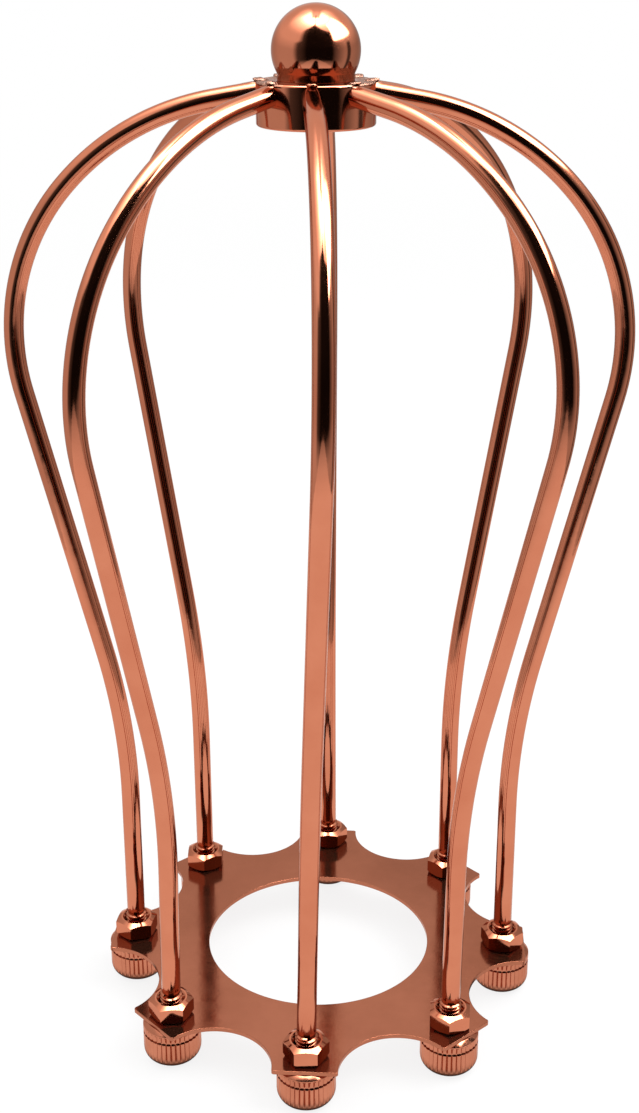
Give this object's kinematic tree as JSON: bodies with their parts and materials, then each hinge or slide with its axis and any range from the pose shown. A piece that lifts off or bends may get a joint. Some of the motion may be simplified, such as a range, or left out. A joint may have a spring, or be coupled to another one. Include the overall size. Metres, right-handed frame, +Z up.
{
  "type": "wire cage lampshade",
  "caption": "Balloon-shaped open wire cage lampshade: bent rods stand on a notched ring plate and meet at a round hub with a ball, in polished copper plate.",
  "frame": {"origin": "centre of the lampholder hole, on the top face of the base plate", "axes": "+Z up along the cage's axis, towards the ball; rib 1 stands on -Y, at the front"},
  "size_m": [0.1068, 0.1069, 0.1805],
  "materials": {
    "plated_sheet": "copper-plated steel sheet, bright with a faint haze",
    "plated_bright": "polished copper-plated steel",
    "plated_knurled": "polished copper-plated steel, straight knurled",
    "zinc_screw": "copper-plated steel screw"
  },
  "bodies": {
    "root": {"base_plate": "plated_sheet", "rib_1": "plated_bright", "rib_2": "plated_bright", "rib_3": "plated_bright", "rib_4": "plated_bright", "rib_5": "plated_bright", "rib_6": "plated_bright", "rib_7": "plated_bright", "rib_8": "plated_bright", "hex_nut_1": "plated_bright", "hex_nut_2": "plated_bright", "hex_nut_3": "plated_bright", "hex_nut_4": "plated_bright", "hex_nut_5": "plated_bright", "hex_nut_6": "plated_bright", "hex_nut_7": "plated_bright", "hex_nut_8": "plated_bright", "hub": "plated_bright", "ball_finial": "plated_bright", "cap_nut_1": "plated_knurled", "cap_nut_2": "plated_knurled", "cap_nut_3": "plated_knurled", "cap_nut_4": "plated_knurled", "cap_nut_5": "plated_knurled", "cap_nut_6": "plated_knurled", "cap_nut_7": "plated_knurled", "cap_nut_8": "plated_knurled", "finial_screw": "zinc_screw"}
  },
  "joints": []
}
